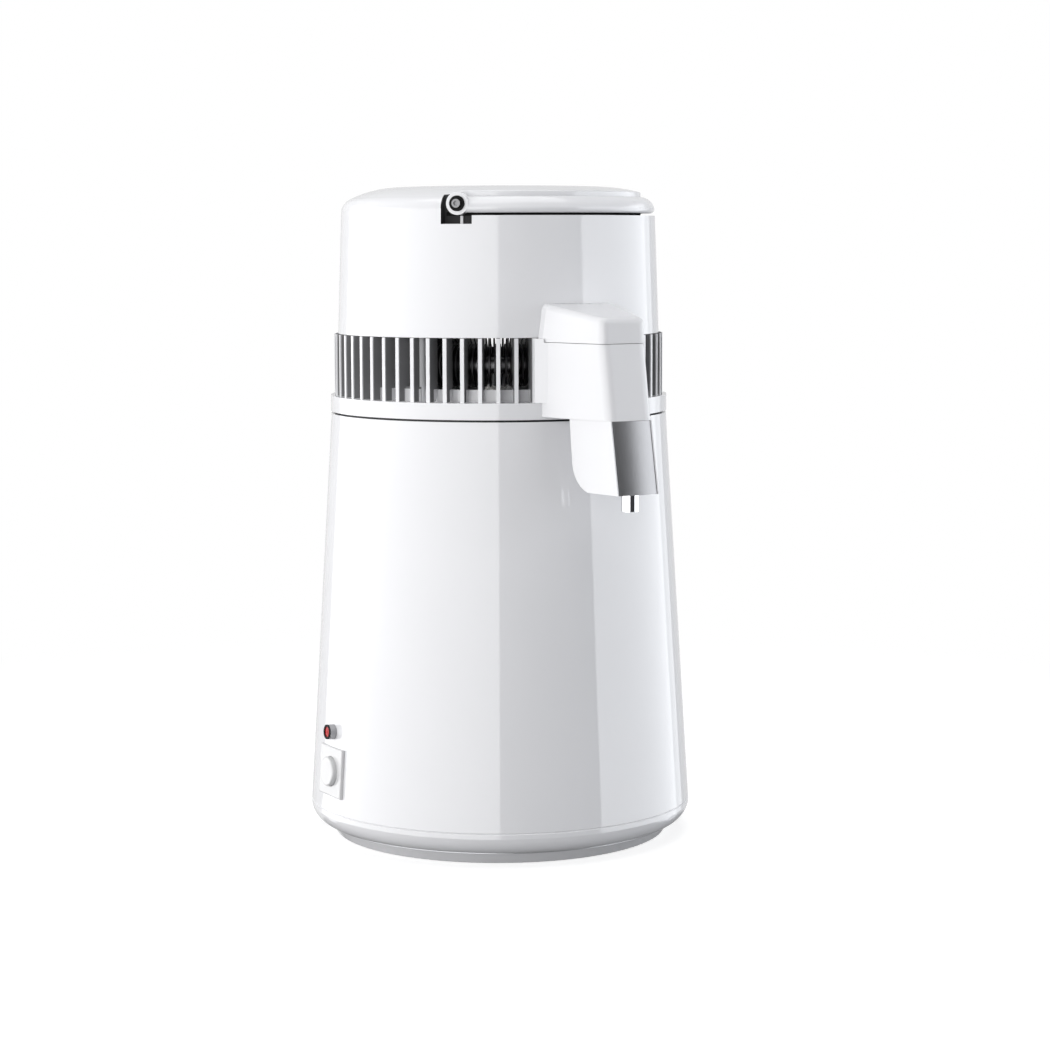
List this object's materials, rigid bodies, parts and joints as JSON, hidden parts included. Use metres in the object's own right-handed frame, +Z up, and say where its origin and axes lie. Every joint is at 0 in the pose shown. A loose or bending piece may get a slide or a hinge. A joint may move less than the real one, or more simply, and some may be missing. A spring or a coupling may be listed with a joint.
{
  "type": "countertop water distiller",
  "caption": "Tapered white countertop water distiller with a louvred lift-off head, swing-up handle, front spout with chrome outlet, start button and indicator lamp.",
  "frame": {"origin": "on the body's axis, in the plane that the feet stand on", "axes": "+Z up along the body's axis; the spout points along -Y; the start button is on the -X side; the mains inlet is on the +Y side"},
  "size_m": [0.2268, 0.2722, 0.378],
  "materials": {
    "white_shell": "glossy",
    "white_plastic": "glossy",
    "control_white": "glossy",
    "black_plastic": "matte",
    "grey_plastic": "satin",
    "rubber": "matte",
    "silicone": "satin",
    "stainless": "brushed",
    "zinc_steel": "satin",
    "aluminium": "satin",
    "chrome": "polished",
    "red_lens": "translucent",
    "carbon": "granular",
    "brass": "satin",
    "black_fins": "satin",
    "satin_steel": "satin"
  },
  "bodies": {
    "base": {"plinth_ring": "white_plastic", "rubber_feet": "rubber", "base_screws": "zinc_steel", "base_plate": "zinc_steel", "base_skirt": "white_plastic", "base_shell": "white_shell", "boiling_tank": "stainless", "heater_plate": "aluminium", "heater_element": "stainless", "heater_clamp": "zinc_steel", "clamp_stud": "zinc_steel", "clamp_nut": "zinc_steel", "operating_thermostat": "grey_plastic", "cutout_thermostat": "black_plastic", "terminal_block": "white_plastic", "terminal_screws": "zinc_steel", "control_plate": "control_white", "switch_housing": "black_plastic", "lamp_bezel": "chrome", "lamp_holder": "black_plastic", "lamp_lens": "red_lens", "lamp_nut": "zinc_steel", "power_inlet": "black_plastic", "inlet_pins": "brass", "inlet_screws": "zinc_steel", "fan_socket": "black_plastic"},
    "head": {"vent_ring": "white_plastic", "tie_screws": "zinc_steel", "tank_gasket": "silicone", "steam_dome": "stainless", "dome_screws": "stainless", "steam_nut": "stainless", "condenser_coil": "stainless", "condenser_fins": "black_fins", "tube_grommet": "silicone", "head_shell": "white_plastic", "fan_lead_gland": "black_plastic", "pivot_bushes": "black_plastic", "pivot_screws": "stainless", "fan_guard": "white_plastic", "motor_bracket": "zinc_steel", "fan_motor": "black_plastic", "bracket_screws": "zinc_steel", "motor_screws": "zinc_steel", "spout_body": "white_plastic", "spout_shroud": "white_plastic", "spout_trim": "satin_steel", "outlet_tube": "chrome", "filter_cup": "white_plastic", "carbon_bed": "carbon", "spout_screws": "stainless", "shroud_screws": "stainless"},
    "handle": {"handle": "white_plastic"},
    "fan": {"fan_rotor": "grey_plastic", "fan_shaft": "zinc_steel", "fan_nut": "brass"},
    "filter_lid": {"spout_lid": "white_plastic"},
    "button": {"start_button": "control_white"}
  },
  "joints": [
    {"name": "head_lift", "type": "slide", "parent": "base", "child": "head", "axis": [0, 0, 1], "range_m": [0, 0.1]},
    {"name": "handle_swing", "type": "hinge", "parent": "head", "child": "handle", "pos_m": [0, 0, 0.3677], "axis": [-0.6833, -0.7302, 0], "range_deg": [0, 90]},
    {"name": "fan_spin", "type": "hinge", "parent": "head", "child": "fan", "pos_m": [0, 0, 0.31], "axis": [0, 0, 1], "continuous": true},
    {"name": "lid_lift", "type": "slide", "parent": "head", "child": "filter_lid", "axis": [0, 0, 1], "range_m": [0, 0.045]},
    {"name": "button_press", "type": "slide", "parent": "base", "child": "button", "axis": [0.9981, 0, -0.0613], "range_m": [0, 0.0025], "stiffness_N_per_m": 800, "springref_m": -0.0015}
  ]
}
